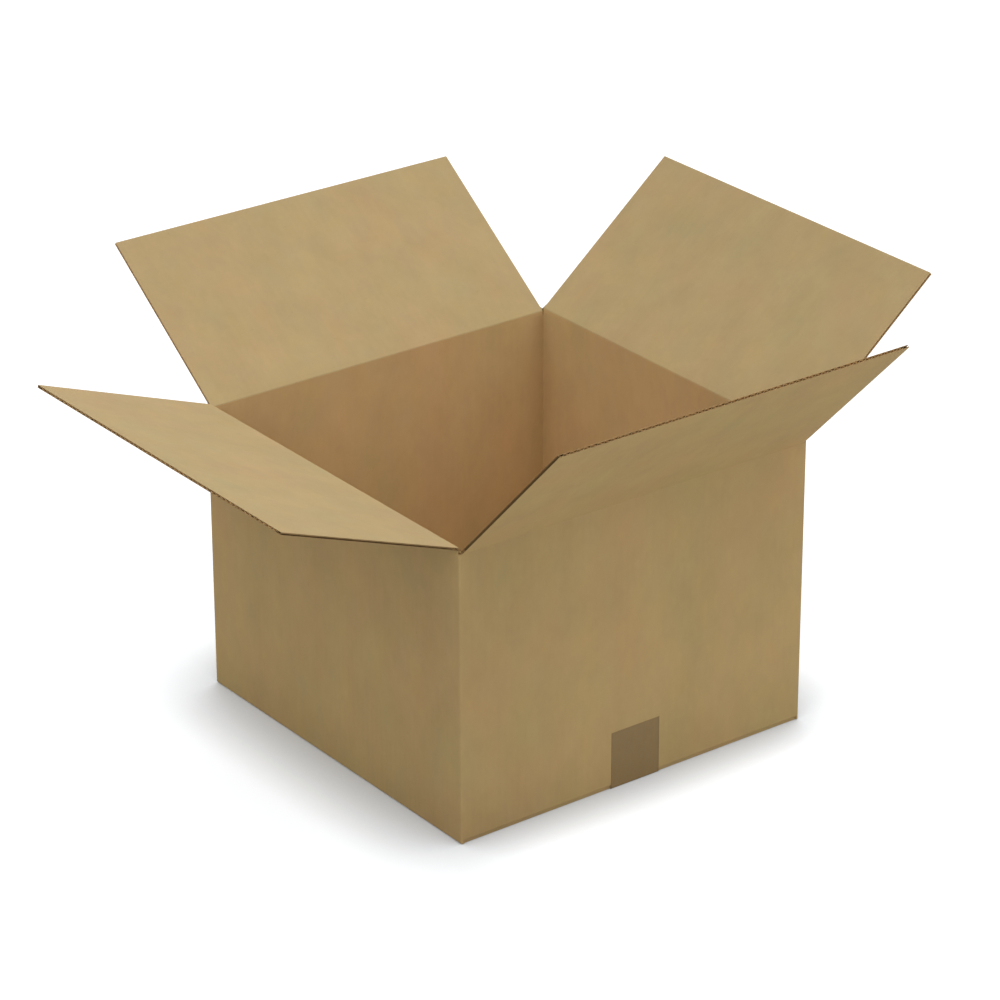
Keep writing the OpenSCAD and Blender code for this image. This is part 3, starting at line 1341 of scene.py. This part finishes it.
def looking(azimuth: float, elevation: float, distance: float, aim: Vector, roll: float = 0.0,
            offset: tuple[float, float] = (0.0, 0.0)) -> Matrix:
    """A frame that looks along -Z at a point, as Blender's cameras and lamps do.

    Args:
        azimuth: 0 looks along +Y and 90 along -X, in degrees.
        elevation: angle above the horizon, in degrees.
        distance: distance from the point.
        aim: the point.
        roll: turn about the line of sight, in degrees.
        offset: shift to the right and up, across the line of sight.

    Returns:
        The frame's matrix.
    """
    a, e, r = (math.radians(v) for v in (azimuth, elevation, roll))
    back = Vector((math.sin(a) * math.cos(e), -math.cos(a) * math.cos(e), math.sin(e)))
    level = Vector((math.cos(a), math.sin(a), 0))
    rise = back.cross(level)
    right = level * math.cos(r) + rise * math.sin(r)
    up = rise * math.cos(r) - level * math.sin(r)
    place = aim + back * distance + right * offset[0] + up * offset[1]
    turned = Matrix((right, up, back)).transposed().to_4x4()
    return Matrix.Translation(place) @ turned


@dataclass(frozen=True)
class SoftLight:
    """A broad soft light from far away, which lights the floor as evenly as the carton."""

    name: str
    azimuth: float
    elevation: float
    strength: float
    spread: float = 70.0
    distance: float = 5.0

    def build(self, aim: Vector) -> None:
        """Hangs the light in its place.

        Args:
            aim: the point that it is turned to.
        """
        lamp = bpy.data.lights.new(self.name, "SUN")
        lamp.angle = math.radians(self.spread)
        lamp.energy = self.strength
        holder = bpy.data.objects.new(self.name, lamp)
        holder.matrix_world = looking(self.azimuth, self.elevation, self.distance, aim)
        bpy.context.scene.collection.objects.link(holder)
        log.info("%s: hung", self.name)


@dataclass
class Studio:
    """A plain pale floor, a white surround, soft light, and the camera.

    The floor's lift makes it white where it is seen in the open, and fades in the carton's shade. The
    shade reaches farther beside the front wall than beside the right one, as shade_reach gives them,
    and none reaches past shade_radius, where the floor is seen as bright as open_floor.
    """

    floor_size: float = 12.0
    floor_colour: Colour = (0.626, 0.65, 0.682)
    floor_lift: float = 0.59
    lift_colour: Colour = (0.93, 0.955, 0.97)
    shade_reach: tuple[float, float] = (0.08, 0.05)
    shade_change: tuple[float, float] = (0.15, 0.19)
    shade_depth: float = 2.5
    shade_samples: int = 16
    shade_radius: float = 0.42
    open_floor: float = 1.25
    lens: float = 150.05
    sensor: float = 36.0
    azimuth: float = 53.07
    elevation: float = 25.0
    distance: float = 3.5
    roll: float = -0.15
    offset: tuple[float, float] = (-3.9 * MM, 35.4 * MM)
    aim: Vector = field(default_factory=lambda: Vector((0, 0, 0.15)))
    lamps: tuple[SoftLight, ...] = (
        SoftLight("left_light", 0.0, 45.0, 0.90),
        SoftLight("front_light", 45.0, 45.0, 1.01),
        SoftLight("right_light", 135.0, 45.0, 0.90),
        SoftLight("high_back_light", 225.0, 70.0, 1.37),
        SoftLight("low_back_light", 225.0, 15.0, 1.07),
        SoftLight("low_right_light", 90.0, 15.0, 0.49),
    )

    def seen_directly(self, graph: Graph) -> bpy.types.NodeSocket:
        """Tells the rays that see a surface from those that carry its light to the object.

        Args:
            graph: the tree of a material or of the world.

        Returns:
            1 for what the camera, a reflection or clear glass sees, and 0 for light on the object.
        """
        path = graph.node("LightPath").outputs
        seen = graph.math("MAXIMUM", path["Is Camera Ray"], path["Is Glossy Ray"])
        return graph.math("MAXIMUM", seen, path["Is Transmission Ray"])

    def floor_finish(self) -> bpy.types.Material:
        """The floor's finish, lifted to white only where it is seen.

        Returns:
            The material.
        """
        material, graph, shader = new_finish("studio_floor")
        shader.inputs["Base Color"].default_value = (*self.floor_colour, 1.0)
        shader.inputs["Roughness"].default_value = 1.0
        shader.inputs["Specular IOR Level"].default_value = 0.0
        place = graph.node("TexCoord").outputs["Object"]
        seen = self.seen_directly(graph)

        x, y, _ = graph.split(place)
        beside = graph.math("MINIMUM", x, graph.math("ADD", y, 2 * CARTON.half))
        shade = graph.node("AmbientOcclusion", samples=self.shade_samples)
        graph.feed(shade.inputs["Distance"], graph.span(beside, *self.shade_change, self.shade_reach))
        depth = graph.math("POWER", shade.outputs["AO"], self.shade_depth)
        glow = graph.node("Emission")
        glow.inputs["Color"].default_value = (*self.lift_colour, 1.0)
        lift = graph.math("MULTIPLY", depth, self.floor_lift)
        graph.feed(glow.inputs["Strength"], graph.math("MULTIPLY", seen, lift))
        near = graph.node("AddShader")
        graph.feed(near.inputs[0], shader.outputs[0])
        graph.feed(near.inputs[1], glow.outputs[0])

        away = graph.node("VectorMath", operation="LENGTH")
        graph.feed(away.inputs[0], place)
        far = graph.math("GREATER_THAN", away.outputs["Value"], self.shade_radius)
        white = graph.node("Emission")
        white.inputs["Strength"].default_value = self.open_floor
        laid = graph.node("MixShader")
        graph.feed(laid.inputs[0], graph.math("MULTIPLY", seen, far))
        graph.feed(laid.inputs[1], near.outputs[0])
        graph.feed(laid.inputs[2], white.outputs[0])
        graph.feed(material.node_tree.nodes["Material Output"].inputs["Surface"], laid.outputs[0])
        return material

    def floor(self) -> None:
        """Lays the floor that the carton stands on."""
        half = self.floor_size / 2
        corners = [(-half, -half, 0), (half, -half, 0), (half, half, 0), (-half, half, 0)]
        mesh = bpy.data.meshes.new("floor")
        mesh.from_pydata(corners, [], [(0, 1, 2, 3)])
        mesh.materials.append(self.floor_finish())
        sheet = bpy.data.objects.new("floor", mesh)
        bpy.context.scene.collection.objects.link(sheet)
        log.info("floor: laid")

    def surround(self) -> None:
        """Makes the world white where it is seen, with no light on the object."""
        world = bpy.data.worlds.new("studio")
        bpy.context.scene.world = world
        world.use_nodes = True
        graph = Graph(world.node_tree)
        white = world.node_tree.nodes["Background"]
        white.inputs["Color"].default_value = (1.0, 1.0, 1.0, 1.0)
        graph.feed(white.inputs["Strength"], self.seen_directly(graph))
        log.info("surround: white")

    def camera(self) -> None:
        """Sets the camera up at the photograph's viewing angle."""
        lens = bpy.data.cameras.new("camera")
        lens.lens = self.lens
        lens.sensor_width = self.sensor
        holder = bpy.data.objects.new("camera", lens)
        holder.matrix_world = looking(
            self.azimuth, self.elevation, self.distance, self.aim, roll=self.roll, offset=self.offset
        )
        bpy.context.scene.collection.objects.link(holder)
        bpy.context.scene.camera = holder
        log.info("camera: set up")

    def build(self) -> None:
        """Builds the floor, the surround, the lamps and the camera."""
        self.floor()
        self.surround()
        for lamp in self.lamps:
            lamp.build(self.aim)
        self.camera()
        bpy.context.scene.view_settings.view_transform = "Standard"


def main() -> None:
    """Builds the carton, its tape and the studio, in that order."""
    logging.basicConfig(level=logging.INFO, format="%(name)s: %(message)s")
    Carton().build(frame["nodes"])
    SealingTape().build(frame["nodes"])
    Studio().build()


if __name__ == "__main__":
    main()
